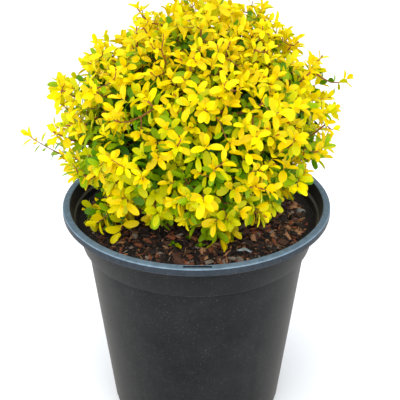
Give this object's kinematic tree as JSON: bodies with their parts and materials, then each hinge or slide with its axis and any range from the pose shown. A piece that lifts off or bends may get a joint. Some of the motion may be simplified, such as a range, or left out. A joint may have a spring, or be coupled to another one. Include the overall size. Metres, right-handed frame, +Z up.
{
  "type": "potted privet",
  "caption": "Round golden privet bush, boughs and leafy masses on a short stem, growing in bark compost in a black tapered nursery pot with a rolled rim.",
  "frame": {"origin": "middle of the pot's flat underside, on the ground", "axes": "+Z up along the pot's axis, -Y towards the side seen in the picture, +X to the right in the picture"},
  "size_m": [0.3398, 0.2938, 0.4715],
  "materials": {
    "black_plastic": "moulded polypropylene, satin, faintly dusty and scratched",
    "bark_compost": "damp bark chips and fibres, matte",
    "privet_bark": "thin grey-brown bark, matte",
    "leaf_lemon": "young lemon-yellow leaves, softly glossy",
    "leaf_golden": "golden-yellow leaves, softly glossy",
    "leaf_lime": "yellow-green to green leaves, softly glossy"
  },
  "bodies": {
    "root": {"pot": "black_plastic", "potting_mix": "bark_compost", "trunk": "privet_bark", "bough_leader": "privet_bark", "bough_lower_1": "privet_bark", "bough_lower_2": "privet_bark", "bough_lower_3": "privet_bark", "bough_lower_4": "privet_bark", "bough_lower_5": "privet_bark", "bough_lower_6": "privet_bark", "bough_lower_7": "privet_bark", "bough_upper_1": "privet_bark", "bough_upper_2": "privet_bark", "bough_upper_3": "privet_bark", "bough_upper_4": "privet_bark", "bough_upper_5": "privet_bark", "foliage_top": "leaf_lemon", "foliage_lower_1": "leaf_lime", "foliage_lower_2": "leaf_lime", "foliage_lower_3": "leaf_lime", "foliage_lower_4": "leaf_lime", "foliage_lower_5": "leaf_lime", "foliage_lower_6": "leaf_lime", "foliage_lower_7": "leaf_lime", "foliage_upper_1": "leaf_golden", "foliage_upper_2": "leaf_golden", "foliage_upper_3": "leaf_golden", "foliage_upper_4": "leaf_golden", "foliage_upper_5": "leaf_golden"}
  },
  "joints": []
}
